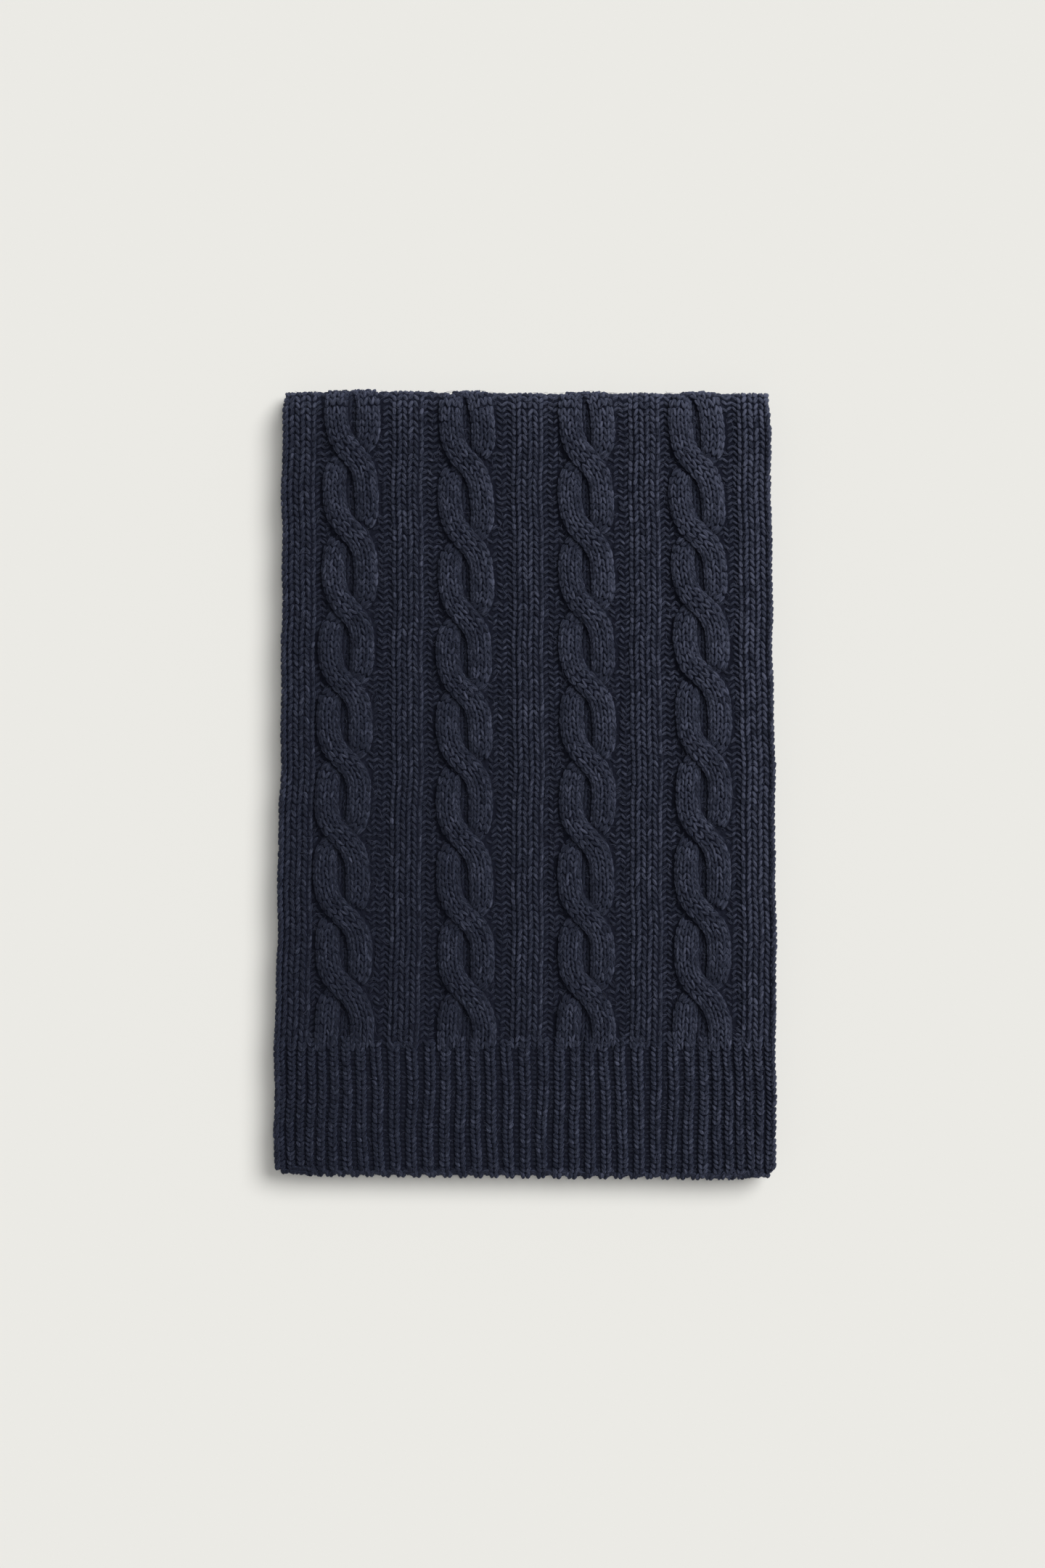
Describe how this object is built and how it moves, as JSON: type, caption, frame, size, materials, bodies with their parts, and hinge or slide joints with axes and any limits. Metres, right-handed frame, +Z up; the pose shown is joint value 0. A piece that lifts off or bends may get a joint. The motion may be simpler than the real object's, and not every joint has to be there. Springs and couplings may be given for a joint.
{
  "type": "folded knit scarf",
  "caption": "Chunky cable-knit scarf with ribbed ends, folded lengthwise into a flat stack of plies, lying flat with one ribbed hem on top.",
  "frame": {"origin": "on the surface that the folded scarf lies on, under the middle of its outline", "axes": "+Z up, +Y along the scarf from the ribbed hem to the far fold, +X across it to the right as seen from above with the hem nearest"},
  "size_m": [0.288, 0.45, 0.0244],
  "materials": {
    "navy_wool_knit": "matte woollen yarn, slightly heathered and fuzzy, knitted in cables, ribs and plain panels"
  },
  "bodies": {
    "root": {"top_ply": "navy_wool_knit", "hidden_plies": "navy_wool_knit"}
  },
  "joints": []
}
